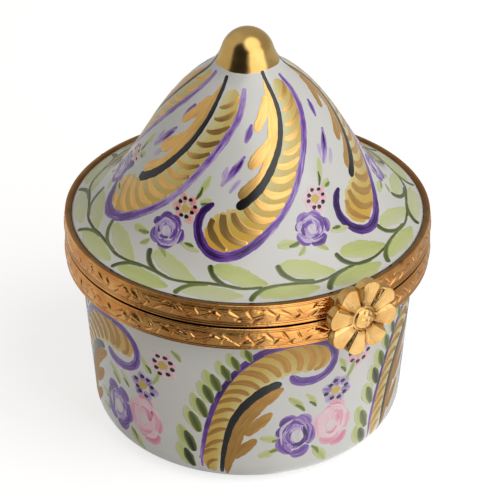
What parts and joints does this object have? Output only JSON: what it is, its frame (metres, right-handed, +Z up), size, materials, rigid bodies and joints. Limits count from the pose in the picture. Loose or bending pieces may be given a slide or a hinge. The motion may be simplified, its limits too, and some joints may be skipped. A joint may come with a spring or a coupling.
{
  "type": "hinged porcelain box",
  "caption": "Small round porcelain keepsake box with a tent-shaped hinged lid, gilt engraved bezels at the seam and a flower-shaped clasp; it opens to hold small things.",
  "frame": {"origin": "centre of the foot, on the table", "axes": "+Z up through the finial, +Y towards the hinge, -Y towards the clasp, +X to the right seen from the front"},
  "size_m": [0.051, 0.0572, 0.0603],
  "materials": {
    "glazed_porcelain": "gloss",
    "gilt_bezel": "satin",
    "gilt_hinge": "satin",
    "gilt_clasp": "satin",
    "cement": "matte"
  },
  "bodies": {
    "base": {"base_cup": "glazed_porcelain", "lower_bezel": "gilt_bezel", "lower_cement": "cement", "base_hinge_bearer": "gilt_hinge", "base_knuckles": "gilt_hinge", "hinge_pin": "gilt_hinge", "catch_stud": "gilt_hinge"},
    "lid": {"lid_shell": "glazed_porcelain", "upper_bezel": "gilt_bezel", "upper_cement": "cement", "lid_hinge_bearer": "gilt_hinge", "lid_knuckles": "gilt_hinge", "clasp_bracket": "gilt_clasp", "clasp_flower": "gilt_clasp", "clasp_rivet": "gilt_clasp", "clasp_tongue": "gilt_clasp"}
  },
  "joints": [
    {"name": "lid_hinge", "type": "hinge", "parent": "base", "child": "lid", "pos_m": [0, 0.0268, 0.0289], "axis": [-1, 0, 0], "range_deg": [0, 100]}
  ]
}
